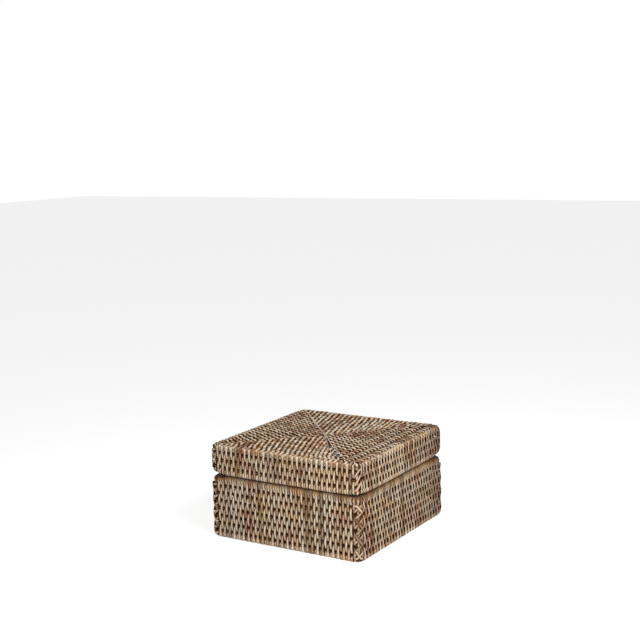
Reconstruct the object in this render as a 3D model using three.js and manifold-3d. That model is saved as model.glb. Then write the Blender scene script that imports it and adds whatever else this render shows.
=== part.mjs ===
// A square storage box woven from rattan, with a lid that lifts straight off.
//
// The base and the lid are both trays made the same way. Round rods, bent into squares, run through
// the weave: nested squares in the flat panel (the floor, or the lid's top), one round its edge, and
// level hoops up the walls, with a thicker pole at the rim. Flat strands run across the rods, from the
// middle of the panel out over its edge, along the wall, round the rim pole and back down inside.
// Each side of a tray therefore has one woven piece, mitred against its neighbours along the panel's
// diagonals. Strands laced crosswise close the four upright corners, and strands laid in the mitres
// close the diagonals. Posts stand inside the base's corners, and a woven neck inside its rim keeps
// the lid in place.
//
// Millimetres, +Z up, origin in the middle of the base's underside, front towards -Y.

import * as THREE from "three";
import { mergeVertices } from "three/addons/utils/BufferGeometryUtils.js";
import Module from "manifold-3d";

const wasm = await Module();
wasm.setup();

// Driving sizes of the whole box.
const boxWidth = 200; // over the strands, both ways
const baseHeight = 74;
const lidHeight = 35.7;
const cornerBend = 7.5; // centre line of a hoop where it turns an upright corner
const fit = 0.3; // clear of each other, what is laced, threaded or laid together

// Stock.
const strandThickness = 1;
const rodDiameter = 2.6;
const footRodDiameter = 4;
const lidEdgeRodDiameter = 4.8;
const baseRimPoleDiameter = 7;
const lidRimPoleDiameter = 4.4;
const postDiameter = 7;
const diagonalStrandWidth = 2.5;

// Weave.
const panelRodCount = 10;
const innermostRodHalf = 9.6; // half the side of the smallest square rod
const panelRodBend = 2; // centre line of a panel rod at its corners
const baseHoopCount = 7;
const lidHoopCount = 3;
const panelSlack = 0.2; // spare room for the strands between a panel's last rod and its edge rod
const baseWallSlack = 0.3; // and between the edge rod and the first hoop
const lidWallSlack = 0.8;
const baseRimSlack = 1.7; // and between the last hoop and the rim pole
const lidRimSlack = 0.7;
const valleyOffset = 1.1; // half the weave's thickness midway between two rods
const footLift = 1.5; // how far the floor stands clear of what the box stands on
const footFlat = 3.6; // width of the flat that the box stands on
const weaveStart = 4; // where the strands start, from the middle of the panel
const wrapTurn = 225; // degrees that the strands turn round the rim pole, from its outermost line

// Corner lacing: the gap left between its strands above each hoop.
const windowWidth = 5;
const windowHeight = 4.4;

// Neck that the lid fits over.
const neckRise = 12.5; // above the base's rim
const neckDrop = 13; // below the base's rim
const neckRodDiameter = 2.4;
const neckStrandThickness = 1.1;
const neckBend = 9; // outside radius at its corners
const neckWindowHeight = 5;

// Sides of the round sections, and steps round a bend.
const rodSides = 6;
const poleSides = 10; // of the edge rods too
const postSides = 16;
const bendSteps = 3;
const wrapSteps = 8;
const tightBendSteps = 1;

// What follows from those.
const half = boxWidth / 2;
const rodRadius = rodDiameter / 2;
const crown = rodRadius + strandThickness; // half the weave's thickness over a rod
const rodLine = half - crown; // hoops, from the middle of the box
const innerWall = half - 2 * crown; // inside face of the walls
const cornerAxis = rodLine - cornerBend; // where the upright corners' bends are centred
const cornerRadius = half - cornerAxis;
const lacingReach = diagonalStrandWidth; // from the corner's axis to where its lacing starts on the panel
const mitreGap = diagonalStrandWidth + 2 * fit;
const mitreOffset = mitreGap / Math.SQRT2; // how far a side's mitre lies from the diagonal, across the side
const lidSeat = baseHeight + fit;

// Colours, as greyed and antiqued rattan, in sRGB.
const strandMaterial = new THREE.MeshStandardMaterial({ color: 0xa98f74, roughness: 0.75, metalness: 0 });
const lacingMaterial = new THREE.MeshStandardMaterial({ color: 0xb2967a, roughness: 0.75, metalness: 0 });
const rodMaterial = new THREE.MeshStandardMaterial({ color: 0x4a3022, roughness: 0.7, metalness: 0 });
const poleMaterial = new THREE.MeshStandardMaterial({ color: 0x6b4a33, roughness: 0.65, metalness: 0 });

const sides = ["right", "back", "left", "front"]; // each a quarter turn from the one before, from +X
const corners = ["back_right", "back_left", "front_left", "front_right"];
const quarterTurn = Math.PI / 2;
const upright = new THREE.Vector3(0, 0, 1);

// A three.js geometry as a manifold solid, and back.
function solidOf(geometry) {
  const bare = geometry.clone();
  bare.deleteAttribute("normal");
  bare.deleteAttribute("uv");
  const merged = mergeVertices(bare, 1e-4);
  return new wasm.Manifold(
    new wasm.Mesh({
      numProp: 3,
      vertProperties: merged.attributes.position.array,
      triVerts: new Uint32Array(merged.index.array),
    }),
  );
}

function geometryOf(solid) {
  const mesh = solid.getMesh();
  const geometry = new THREE.BufferGeometry();
  geometry.setAttribute("position", new THREE.BufferAttribute(mesh.vertProperties, 3));
  geometry.setIndex(new THREE.BufferAttribute(mesh.triVerts, 1));
  return geometry;
}

// Points of an arc in a plane, both ends included, angles in degrees.
function arcPoints(centreX, centreY, radius, from, to, steps) {
  return Array.from({ length: steps + 1 }, (_, i) => {
    const angle = THREE.MathUtils.degToRad(from + ((to - from) * i) / steps);
    return new THREE.Vector2(centreX + radius * Math.cos(angle), centreY + radius * Math.sin(angle));
  });
}

// A regular polygon that stands for a round section, with the first corner half a side up from the x axis.
function roundSection(radius, count) {
  const firstAngle = 180 / count;
  return arcPoints(0, 0, radius, firstAngle, firstAngle + 360, count).slice(0, count);
}

// The radius of a bore whose flats stand clear of a rod's flats by the fit.
function boreRadius(radius, count) {
  return radius + fit / Math.cos(Math.PI / count);
}

// A section (x outwards, y up) carried round a square with rounded corners: lineHalf and bend are those
// of the square that x = 0 follows.
function squareRing(section, lineHalf, bend, steps) {
  const axis = lineHalf - bend;
  const stations = [];
  for (let corner = 0; corner < 4; corner++) {
    const centre = new THREE.Vector2(axis, axis).rotateAround(new THREE.Vector2(), corner * quarterTurn);
    for (let i = 0; i <= steps; i++) {
      stations.push({ centre, angle: (corner + i / steps) * quarterTurn });
    }
  }
  const positions = stations.flatMap(({ centre, angle }) =>
    section.flatMap((p) => [
      centre.x + (bend + p.x) * Math.cos(angle),
      centre.y + (bend + p.x) * Math.sin(angle),
      p.y,
    ]),
  );
  const indices = [];
  const count = section.length;
  stations.forEach((_, i) => {
    const next = (i + 1) % stations.length;
    section.forEach((_, j) => {
      const k = (j + 1) % count;
      const a = i * count + j;
      const b = next * count + j;
      const c = next * count + k;
      const d = i * count + k;
      indices.push(a, b, c, a, c, d);
    });
  });
  const geometry = new THREE.BufferGeometry();
  geometry.setAttribute("position", new THREE.Float32BufferAttribute(positions, 3));
  geometry.setIndex(indices);
  return geometry;
}

// A profile (x outwards, y up) extruded along a side that faces +X, centred on it.
function alongSide(shape, length) {
  const geometry = new THREE.ExtrudeGeometry(shape, { depth: length, bevelEnabled: false });
  return geometry.translate(0, 0, -length / 2).rotateX(quarterTurn);
}

function named(name, geometry, material, z = 0) {
  const mesh = new THREE.Mesh(geometry, material);
  mesh.name = name;
  mesh.position.z = z;
  return mesh;
}

// Where a tray's rods lie, as distance out from the middle and height over the panel's outer face.
function layOut({ height, hoopCount, edgeRodDiameter, rimPoleDiameter, wallSlack, rimSlack, lift }) {
  const edgeRadius = edgeRodDiameter / 2;
  const edgeWrap = edgeRadius + strandThickness;
  const rimRadius = rimPoleDiameter / 2;
  const rimWrap = rimRadius + strandThickness;
  const edge = { out: half - edgeWrap, up: edgeWrap };
  const rim = { out: half - rimWrap, up: height - rimWrap };
  const firstHoop = edge.up + edgeWrap + rodRadius + wallSlack;
  const lastHoop = rim.up - (rimWrap + rodRadius + rimSlack);
  const hoopPitch = (lastHoop - firstHoop) / (hoopCount - 1);
  const hoops = Array.from({ length: hoopCount }, (_, i) => ({
    out: rodLine,
    up: firstHoop + i * hoopPitch,
  }));
  const outermost = edge.out - (edgeWrap + rodRadius + panelSlack);
  const rodPitch = (outermost - innermostRodHalf) / (panelRodCount - 1);
  const panelRods = Array.from({ length: panelRodCount }, (_, i) => ({
    out: innermostRodHalf + i * rodPitch,
    up: lift + crown,
  }));
  return { height, lift, edgeRadius, edgeWrap, rimRadius, rimWrap, rim, edge, hoops, panelRods };
}

// The crowns over a run of rods and the valleys between them. offset moves a rod's centre towards the
// face that the run lies on, by one unit.
function ribs(rods, offset) {
  const at = (out, up, by) => new THREE.Vector2(out + offset.x * by, up + offset.y * by);
  return rods.flatMap((rod, i) => {
    const next = rods[i + 1];
    const top = at(rod.out, rod.up, crown);
    return next ? [top, at((rod.out + next.out) / 2, (rod.up + next.up) / 2, valleyOffset)] : [top];
  });
}

// One woven side of a tray: a sheet that holds its rods in bores, mitred along both diagonals.
function wovenSide(tray, place) {
  const { rim, rimRadius, rimWrap, edge, edgeRadius, edgeWrap, hoops, panelRods, lift } = tray;
  const panelMid = lift + crown;
  const outline = [
    new THREE.Vector2(weaveStart, panelMid - valleyOffset),
    ...ribs(panelRods, { x: 0, y: -1 }),
    new THREE.Vector2(edge.out - footFlat, 0),
    ...arcPoints(edge.out, edge.up, edgeWrap, 270, 360, bendSteps),
    ...ribs(hoops, { x: 1, y: 0 }),
    ...arcPoints(rim.out, rim.up, rimWrap, 0, wrapTurn, wrapSteps),
    ...ribs([...hoops].reverse(), { x: -1, y: 0 }),
    ...ribs([...panelRods].reverse(), { x: 0, y: 1 }),
    new THREE.Vector2(weaveStart, panelMid + valleyOffset),
  ];
  const shape = new THREE.Shape(outline.map((p) => new THREE.Vector2(p.x, place(p.y))));
  const addBore = (centre, radius, count) => {
    const middle = new THREE.Vector2(centre.out, place(centre.up));
    const wall = roundSection(boreRadius(radius, count), count).map((p) => p.add(middle));
    shape.holes.push(new THREE.Path(wall));
  };
  [...panelRods, ...hoops].forEach((rod) => addBore(rod, rodRadius, rodSides));
  addBore(edge, edgeRadius, poleSides);
  addBore(rim, rimRadius, poleSides);

  const reach = half + fit;
  const mitred = new THREE.Shape([
    new THREE.Vector2(mitreOffset, 0),
    new THREE.Vector2(reach, mitreOffset - reach),
    new THREE.Vector2(reach, reach - mitreOffset),
  ]);
  const keep = new THREE.ExtrudeGeometry(mitred, { depth: 3 * tray.height, bevelEnabled: false });
  keep.translate(0, 0, -tray.height);
  return geometryOf(solidOf(alongSide(shape, 2 * cornerAxis)).intersect(solidOf(keep)));
}

// The crosswise lacing of one upright corner, at the corner between +X and +Y: a skin over the edge rod,
// the hoops and the rim pole, with a diamond-shaped gap between each two of them.
function cornerLacing(tray, place) {
  const { rim, rimWrap, edge, edgeRadius, edgeWrap, hoops } = tray;
  const skin = strandThickness - fit;
  const rimOut = rim.out - cornerAxis;
  const edgeOut = edge.out - cornerAxis;
  const profile = [
    new THREE.Vector2(lacingReach, 0),
    ...arcPoints(edgeOut, edge.up, edgeWrap, 270, 360, bendSteps),
    ...arcPoints(rimOut, rim.up, rimWrap, 0, 180, 2 * bendSteps),
    ...arcPoints(rimOut, rim.up, rimWrap - skin, 180, 0, 2 * bendSteps),
    ...arcPoints(edgeOut, edge.up, edgeWrap - skin, 360, 270, bendSteps),
    new THREE.Vector2(lacingReach, skin),
  ];
  const placed = profile.map((p) => new THREE.Vector2(p.x, place(p.y)));
  const mirrored = place(1) < place(0);
  const closed = mirrored ? placed.reverse() : placed;
  closed.push(closed[0].clone());
  const around = new THREE.LatheGeometry(closed, 4 * bendSteps).rotateX(quarterTurn);
  const quarter = new THREE.BoxGeometry(half, half, 3 * tray.height).translate(half / 2, half / 2, 0);

  let lacing = solidOf(around).intersect(solidOf(quarter));
  const tops = [edge.up + edgeRadius, ...hoops.map((hoop) => hoop.up + rodRadius)];
  hoops.forEach((hoop, i) => {
    const middle = (tops[i] + hoop.up - rodRadius) / 2;
    const opening = Math.min(windowHeight, hoop.up - rodRadius - tops[i]);
    const gap = new THREE.CylinderGeometry(1, 1, 3 * strandThickness, 4);
    gap.scale(opening / 2, 1, windowWidth / 2).rotateZ(quarterTurn);
    gap.translate(cornerRadius - strandThickness / 2, 0, 0);
    gap.rotateZ(quarterTurn / 2).translate(0, 0, place(middle));
    lacing = lacing.subtract(solidOf(gap));
  });
  return geometryOf(lacing);
}

// Strands laid along both diagonals of a panel, in the mitres, over the corners of its rods.
function diagonalLacing(tray, place) {
  const top = tray.lift;
  const bottom = tray.lift + strandThickness - fit;
  const clearOfLacing = lacingReach * Math.cos(quarterTurn / (2 * bendSteps)) - fit;
  const end = cornerAxis * Math.SQRT2 + Math.sqrt(clearOfLacing ** 2 - (diagonalStrandWidth / 2) ** 2);
  const strip = (angle) => {
    const bar = new THREE.BoxGeometry(2 * end, diagonalStrandWidth, bottom - top);
    bar.translate(0, 0, place((top + bottom) / 2));
    return solidOf(bar.rotateZ(angle));
  };
  return geometryOf(strip(quarterTurn / 2).add(strip(-quarterTurn / 2)));
}

// Everything that a tray has, as named meshes. place turns a height over the panel into the tray's own z.
function trayGroup(prefix, panelName, tray, place, poleName, edgeName) {
  const group = new THREE.Group();
  const rod = roundSection(rodRadius, rodSides);
  const rimPole = roundSection(tray.rimRadius, poleSides);
  const { panelRods, hoops, edge, rim } = tray;

  panelRods.forEach(({ out, up }, i) => {
    const ring = squareRing(rod, out, panelRodBend, tightBendSteps);
    group.add(named(`${panelName}_rod_${i + 1}`, ring, rodMaterial, place(up)));
  });
  hoops.forEach(({ out, up }, i) => {
    const ring = squareRing(rod, out, cornerBend, bendSteps);
    group.add(named(`${prefix}_hoop_${i + 1}`, ring, rodMaterial, place(up)));
  });
  const edgeRod = roundSection(tray.edgeRadius, poleSides);
  const edgeRing = squareRing(edgeRod, edge.out, edge.out - cornerAxis, bendSteps);
  group.add(named(edgeName, edgeRing, rodMaterial, place(edge.up)));
  const rimRing = squareRing(rimPole, rim.out, rim.out - cornerAxis, bendSteps);
  group.add(named(poleName, rimRing, poleMaterial, place(rim.up)));
  group.add(named(`${panelName}_diagonal_lacing`, diagonalLacing(tray, place), lacingMaterial));

  const side = wovenSide(tray, place);
  sides.forEach((name, i) => {
    const mesh = named(`${prefix}_weave_${name}`, side, strandMaterial);
    mesh.rotation.z = i * quarterTurn;
    group.add(mesh);
  });

  const lacing = cornerLacing(tray, place);
  corners.forEach((name, i) => {
    const mesh = named(`${prefix}_corner_lacing_${name}`, lacing, lacingMaterial);
    mesh.rotation.z = i * quarterTurn;
    mesh.position.set(cornerAxis, cornerAxis, 0).applyAxisAngle(upright, i * quarterTurn);
    group.add(mesh);
  });
  return group;
}

// Posts inside the base's corners, from the level of the lowest hoop to that of the highest.
function cornerPosts(tray) {
  const radius = postDiameter / 2;
  const bottom = tray.hoops.at(0).up;
  const top = tray.hoops.at(-1).up;
  const seat = innerWall - fit - radius;
  const post = new THREE.CylinderGeometry(radius, radius, top - bottom, postSides).rotateX(quarterTurn);
  return corners.map((name, i) => {
    const mesh = named(`corner_post_${name}`, post, poleMaterial);
    mesh.position.set(seat, seat, (top + bottom) / 2).applyAxisAngle(upright, i * quarterTurn);
    return mesh;
  });
}

// The neck: strands wrapped round two thin hoops, standing against the inside of the rim.
function neck(tray) {
  const outer = tray.rim.out - tray.rimRadius - strandThickness - fit;
  const depth = neckRodDiameter + 2 * neckStrandThickness;
  const line = outer - depth / 2;
  const bend = neckBend - depth / 2;
  const low = baseHeight - neckDrop + depth / 2;
  const high = baseHeight + neckRise - depth / 2;
  const rod = roundSection(neckRodDiameter / 2, rodSides);
  const bore = roundSection(boreRadius(neckRodDiameter / 2, rodSides), rodSides);
  const band = [
    ...arcPoints(0, high, depth / 2, 0, 180, 2 * bendSteps),
    ...arcPoints(0, low, depth / 2, 180, 360, 2 * bendSteps),
  ];

  let woven = solidOf(squareRing(band, line, bend, bendSteps));
  const hoops = [["neck_hoop_lower", low], ["neck_hoop_upper", high]];
  hoops.forEach(([, z]) => {
    woven = woven.subtract(solidOf(squareRing(bore, line, bend, bendSteps).translate(0, 0, z)));
    corners.forEach((_, i) => {
      const gap = new THREE.BoxGeometry(depth, windowWidth, neckWindowHeight);
      gap.translate(bend - depth / 2, 0, z).rotateZ(quarterTurn / 2).translate(line - bend, line - bend, 0);
      woven = woven.subtract(solidOf(gap.rotateZ(i * quarterTurn)));
    });
  });
  return [
    named("neck_band", geometryOf(woven), strandMaterial),
    ...hoops.map(([name, z]) => named(name, squareRing(rod, line, bend, bendSteps), rodMaterial, z)),
  ];
}

const baseTray = layOut({
  height: baseHeight,
  hoopCount: baseHoopCount,
  edgeRodDiameter: footRodDiameter,
  rimPoleDiameter: baseRimPoleDiameter,
  wallSlack: baseWallSlack,
  rimSlack: baseRimSlack,
  lift: footLift,
});
const lidTray = layOut({
  height: lidHeight,
  hoopCount: lidHoopCount,
  edgeRodDiameter: lidEdgeRodDiameter,
  rimPoleDiameter: lidRimPoleDiameter,
  wallSlack: lidWallSlack,
  rimSlack: lidRimSlack,
  lift: 0,
});

const base = trayGroup("base", "floor", baseTray, (up) => up, "base_rim_pole", "base_foot_rod");
base.add(...cornerPosts(baseTray), ...neck(baseTray));

// The lid is the same tray upside down, so a height over its panel runs down from its top.
const lid = trayGroup("lid", "lid", lidTray, (up) => lidHeight - up, "lid_rim_pole", "lid_edge_rod");
lid.position.z = lidSeat;

const storageBox = new THREE.Group();
storageBox.add(base, lid);

export default storageBox;
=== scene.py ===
"""A square rattan storage box with a lift-off lid.

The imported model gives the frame: where every rod, hoop and pole lies. Each tray is woven round them
again strand by strand, its corners are laced, and every piece gets its cane.
"""

import math

import bpy
from mathutils import Matrix, Vector


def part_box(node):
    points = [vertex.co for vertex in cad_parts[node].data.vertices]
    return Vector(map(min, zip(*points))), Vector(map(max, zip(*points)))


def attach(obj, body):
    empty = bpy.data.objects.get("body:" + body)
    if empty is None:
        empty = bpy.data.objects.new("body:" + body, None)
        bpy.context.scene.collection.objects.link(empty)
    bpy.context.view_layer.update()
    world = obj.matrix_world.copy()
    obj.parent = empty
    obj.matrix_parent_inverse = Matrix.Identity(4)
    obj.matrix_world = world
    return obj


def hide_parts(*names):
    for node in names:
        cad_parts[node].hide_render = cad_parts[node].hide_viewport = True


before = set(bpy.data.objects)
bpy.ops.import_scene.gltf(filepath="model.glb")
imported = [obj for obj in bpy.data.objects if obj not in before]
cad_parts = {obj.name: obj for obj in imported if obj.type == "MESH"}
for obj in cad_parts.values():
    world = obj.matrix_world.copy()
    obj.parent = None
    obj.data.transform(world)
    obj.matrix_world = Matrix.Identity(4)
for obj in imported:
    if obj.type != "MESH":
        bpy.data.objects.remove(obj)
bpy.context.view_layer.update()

MM = 0.001
QUARTER = math.pi / 2
SIDES = ["right", "back", "left", "front"]
CORNERS = ["back_right", "back_left", "front_left", "front_right"]

# Weaving stock.
BASE_STRANDS = 54
LID_STRANDS = 56
STRAND_WIDTH = 3.4 * MM
STRAND_THICKNESS = 1.0 * MM

# The steps in which paths are drawn, and the sides of the sections.
STRAND_STEP = 1.0 * MM
STITCH_STEP = STRAND_STEP * 0.6
ROD_STEP = 2.2 * MM
CURVE_STEPS = 8
STRAND_SECTION_SIDES = 8
ROD_SECTION_SIDES = 12

# How far strands and stitches differ in width, as a share of it.
WIDTH_SPREAD = 0.12
STITCH_SPREAD = 2 * WIDTH_SPREAD

# The share of its full sway that the tightest strand takes, and how much more the slackest does.
TIGHTEST = 0.82
SLACK = 0.3

# A strand gets wider where it is pressed behind a rod, and where it is worn on top of one in the panel:
# by what share, from what lift on, and how near to the panel's face.
PRESSED_SPREAD = 0.5
PRESSED_LIFTS = (0.35, -0.5)
WORN_SPREAD = {"left": 0.65, "right": 0.65, "front": 0.45, "back": 0.45}
WORN_LIFTS = (0.4, 0.9)
WORN_REACH = (7 * MM, 3 * MM)

# The mitres of a panel: the gap along them, and how far the strands near the middle run on over it, where
# they start before the first rod or past the middle. Beyond PANEL_REACH no strand is cut.
MITRE_GAP = 1.0 * MM
MIDDLE_OVERLAP = 4.5 * MM
MIDDLE_ZONE = (9 * MM, 2 * MM)
PAST_MIDDLE = 1.0 * MM
BEFORE_FIRST_ROD = 5 * MM
PANEL_REACH = 92 * MM

# The turn round a rim pole, in degrees up from level: how raised a strand counts there. The lower it
# is, the darker it is painted: stain, and painted shade in the seam between the lid's rim and the base's.
# Its tail runs on inside the wall, painted in shade.
RIM_DEGREES = (-40, -10, 15, 45, 75, 105, 135, 165, 195, 220)
LID_RIM_LIFTS = (0.9, 0.9, 0.9, 0.6, 0.2) + (-0.1,) * 5
BASE_RIM_LIFTS = (0.9, 0.55, 0.1, -0.15, -0.3) + (0.15,) * 5
RIM_TAIL = 4.5 * MM
TAIL_DEGREES = 225
TAIL_LEAN = 0.4 * MM
TAIL_LIFT = -0.5

# How a strand passes a rod, in units of its clearance from the rod's centre: the distance along before
# or after the rod, and how far out of the rods' line it lies when it goes over and when it goes under.
# Pulled tight, a strand dives close beside the rod and comes up again at once. The same numbers say
# how raised it counts: the lower it lies, the more stain and painted shade it gets.
WALL_PASSING = [(-1.75, 0.7, 0.45), (-1.1, 0.9, -0.15), (-0.6, 0.98, -0.84), (0.0, 1.0, -1.0)]
WALL_PASSING += [(0.6, 0.98, -0.84), (1.1, 0.9, -0.15), (1.75, 0.7, 0.45)]
WALL_BETWEEN = 0.5
PANEL_PASSING = [(-1.8, 0.35, -0.15), (-1.3, 0.93, -0.45), (-0.8, 1.08, -0.85), (0.0, 1.12, -1.0)]
PANEL_PASSING += [(0.8, 1.08, -0.85), (1.3, 0.93, -0.45), (1.8, 0.35, -0.15)]
PANEL_BETWEEN = -0.3

# The hollows between a panel's rods are not alike: how much deeper each one is, from the middle out.
# A deeper hollow also gets more painted shade.
PANEL_HOLLOWS = (0.0, 0.4, -0.2, 0.2, -0.1, 0.6, 0.0, -0.2, 0.4)

# Painted shade and stain in the recesses: above a hoop, where a strand dives under its neighbours'
# overhang and light from above can't reach, it is darker than below it; in the panel, darker in the hollows.
STAIN_AND_SHADE_ABOVE = -0.15
STAIN_AND_SHADE_BELOW = 0.1
STAIN_AND_SHADE_PANEL = -0.3

# The rounded edge between a panel and its walls: where it is drawn, in degrees, how far a strand that is
# about to go under a rod sinks there between its neighbours, and how raised it still counts. The less
# raised, the more painted shade it gets there.
EDGE_DEGREES = (270, 295, 320, 345)
EDGE_SINK = 0.55 * MM
EDGE_LIFT = 0.25

# How many clearances a strand needs after a rod before it can turn round an edge or a rim.
TURN_ROOM = 1.8

# How far hand work strays, and over what length. Near the ground it doesn't drift.
DRIFT = 1.3 * MM
DRIFT_SPAN = 55 * MM
GROUND = 12 * MM
WANDER = 0.9 * MM
WANDER_SPAN = 11 * MM
STRAY = 0.8 * MM
FAN_STRAY = 0.2
STITCH_REACH_STRAY = 0.25
STITCH_HEIGHT_STRAY = 1.0 * MM
TACK_STRAY = 0.4
DIAGONAL_WANDER = 1.6

# How far the rims and the panels give at the upright corners, and over what height. They give between
# two distances from the middle. The near and far corners' rims get a share of it only; at a side corner
# x times y is as low as SIDE_CORNER.
BASE_RIM_SAG = -2.2 * MM
BASE_PANEL_SAG = -0.3 * MM
LID_RIM_SAG = 2.6 * MM
LID_PANEL_SAG = 0.0 * MM
SAG_DEPTH = 20 * MM
SAG_ZONE = (74 * MM, 93 * MM)
NEAR_CORNER_SHARE = 0.4
SIDE_CORNER = -5000 * MM * MM

# How far the rods of the lid's left and front side lie off the square towards the left and the back. It
# grows from the middle out and fades before the walls, and the middle itself moves by a share of it.
LID_SKEW = 6.0 * MM
SKEWED_SIDE = (0.2, 1.0)
SKEW_GROWTH = (0.0, 65 * MM)
SKEW_FADING = (97 * MM, 78 * MM)
SKEWED_MIDDLE = 0.5
MIDDLE_FADING = (90 * MM, 10 * MM)

# Corner lacing: the hoops' bend, how deep the corner's strands lie under the stitches, and how far the
# stitches keep from the hoops and reach past the last ones.
STITCH_THICKNESS = 0.8 * MM
CORNER_BEND = 5.5 * MM
CORNER_DEPTH = 0.7 * MM
STITCH_ROOM = 0.4 * MM
HOLD_OFF = 2.7 * MM

# The strands that fill a corner: the two that the photograph shows from the side are laced more openly.
FAN_STRANDS = {"front_left": 3, "back_right": 3, "back_left": 2, "front_right": 2}
OPEN_FAN_WIDTH = 2.6 * MM

# The rows of stitches over a corner: how it leans (1 falls to the right, -1 rises), the hoops from one
# stitch to the next, half its height in hoops, half its reach, its width, and how proud it lies.
BASE_STITCHES = {
    "falling": (1.0, 2, 0.85, 3.8 * MM, 3.2 * MM, 0.6 * MM),
    "rising": (-1.0, 1, 0.62, 4.4 * MM, 3.2 * MM, 0.0),
}
LID_STITCHES = {
    "rising": (-1.0, 1, 0.72, 2.6 * MM, 3.0 * MM, 0.0),
}

# Strands along the panels' diagonals: how far they run past the corner, the room under them, how deep the
# second diagonal's lie, in thicknesses, and how much all of them dip between two rods and at the ends.
DIAGONALS = (QUARTER / 2, -QUARTER / 2)
DIAGONAL_STRANDS = 2
DIAGONAL_WIDTH = 1.2 * MM
DIAGONAL_THICKNESS = 0.9 * MM
DIAGONAL_PITCH = 1.1 * MM
DIAGONAL_END = 1.5 * MM
DIAGONAL_ROOM = 0.1 * MM
DIAGONAL_SINK = 0.6
DIAGONAL_DIP = 0.2 * MM
DIAGONAL_END_DIP = 1.0 * MM

# The lid's two diagonal strands part towards the near corner. The share of PARTING rises with the way from
# the middle to the corner, up to PARTING_MOST, and falls again before the corner: from 2.0 by 1.8 times
# that way. The left side's strands end short of them, along a part of the side that opens and closes.
PARTING = 9 * MM
PARTING_MOST = 0.7
PARTING_CLOSES = (2.0, 1.8)
END_GAP_OPENS = (5 * MM, 70 * MM)
END_GAP_CLOSES = (110 * MM, 80 * MM)

# The small crossed stitches that hold them there. Half of one stitch: its place across the diagonal in
# units of its reach, and how deep it lies.
TACKED_CORNER = "front_left"
TACKS = 5
TACK_WIDTH = 2.0 * MM
TACK_THICKNESS = DIAGONAL_THICKNESS * 0.8
TACK_REACH = 4.0 * MM
TACK_LEANS = {"rising": -1.1, "falling": 1.1}
TACK_PROUD = 0.5 * MM
TACK_OFFSET = 0.4
TACK_HALF = [(-1.25, 2.4 * MM), (-1.0, 1.0 * MM), (-0.6, 0.1 * MM), (0.0, 0.0)]

# Neck.
NECK_STRAND_WIDTH = 2.95 * MM
NECK_STRAND_PITCH = 2.85 * MM
NECK_STRAND_THICKNESS = 1.0 * MM
NECK_BEND = 9 * MM
NECK_CORNER_STRANDS = 5

# The bends of the panels' nested rods, and the least bend of a pole in units of its radius.
PANEL_ROD_BEND = 2 * MM
POLE_BEND = 1.1

# The CAD's rods and poles have flats: sides of their sections.
ROD_SIDES = 6
POLE_SIDES = 10

# The paler crown of a strand, part wear and part painted highlight, and the -x times y between which
# the darkening of the two side corners grows: part dirt, part painted shade on faces turned from the light.
WORN_AND_HIGHLIT_CROWN = (248, 236, 220)
DIRT_AND_SHADE_CORNERS = (0.004, 0.009)

# The light of the surroundings: the lamps give the rest. The floor lies just under the box and glows a
# little where the camera sees it.
SKY_LIGHT = 0.35
WHITE = (1.0, 1.0, 1.0, 1.0)
FLOOR_HALF = 6.0
FLOOR_GAP = 0.3 * MM
FLOOR_GLOW = 0.6

# Where the photograph was taken from.
VIEW_TURN = math.radians(57.65)
VIEW_DIP = math.radians(8.92)
VIEW_ROLL = math.radians(1.50)
VIEW_DISTANCE = 1.437
AIM_RIGHT = -0.0059
AIM_UP = 0.2436
LENS = 67.66


class Wire:
    """A node's output. What is written with it in sums becomes Math or Vector Math nodes."""

    def __init__(self, graph, socket):
        self.graph = graph
        self.socket = socket

    def __add__(self, other):
        return self.graph.maths("ADD", self, other)

    def __radd__(self, other):
        return self.graph.maths("ADD", other, self)

    def __sub__(self, other):
        return self.graph.maths("SUBTRACT", self, other)

    def __rsub__(self, other):
        return self.graph.maths("SUBTRACT", other, self)

    def __mul__(self, other):
        return self.graph.maths("MULTIPLY", self, other)

    def __rmul__(self, other):
        return self.graph.maths("MULTIPLY", other, self)

    def __truediv__(self, other):
        return self.graph.maths("DIVIDE", self, other)

    def __neg__(self):
        return self.graph.maths("MULTIPLY", self, -1.0)

    def other(self, name):
        """Another output of the same node."""
        return Wire(self.graph, self.socket.node.outputs[name])


class Graph:
    """A node tree that is being built."""

    def __init__(self, tree):
        self.tree = tree

    def node(self, kind, settings=None, sockets=None, output=0):
        """Adds a node: its settings first, then its sockets' values or links."""
        node = self.tree.nodes.new(kind)
        for name, value in (settings or {}).items():
            setattr(node, name, value)
        for key, value in (sockets or {}).items():
            self.feed(node.inputs[key], value)
        return Wire(self, node.outputs[output]) if node.outputs else node

    def feed(self, socket, value):
        if isinstance(value, Wire):
            self.tree.links.new(value.socket, socket)
        elif socket.type == "VECTOR" and isinstance(value, (int, float)):
            socket.default_value = (value, value, value)
        else:
            socket.default_value = value

    def maths(self, operation, *values):
        kind = "ShaderNodeVectorMath" if any(map(self.is_vector, values)) else "ShaderNodeMath"
        return self.node(kind, {"operation": operation}, dict(enumerate(values)))

    @staticmethod
    def is_vector(value):
        wide = ("VECTOR", "RGBA")
        return isinstance(value, tuple) or isinstance(value, Wire) and value.socket.type in wide

    def vector(self, x=0.0, y=0.0, z=0.0):
        return self.node("ShaderNodeCombineXYZ", None, {"X": x, "Y": y, "Z": z})

    def split(self, vector):
        x = self.node("ShaderNodeSeparateXYZ", None, {0: vector})
        return x, x.other("Y"), x.other("Z")

    def ease(self, value, low, high):
        """0 at low, 1 at high, smooth between."""
        settings = {"interpolation_type": "SMOOTHSTEP"}
        return self.node("ShaderNodeMapRange", settings, {0: value, 1: low, 2: high})

    def seen_directly(self):
        """1 where a thing is seen itself, in gloss or through glass, and 0 where it only gives light."""
        rays = self.node("ShaderNodeLightPath", None, None, "Is Camera Ray")
        seen = self.maths("MAXIMUM", rays, rays.other("Is Glossy Ray"))
        return self.maths("MAXIMUM", seen, rays.other("Is Transmission Ray"))


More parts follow.
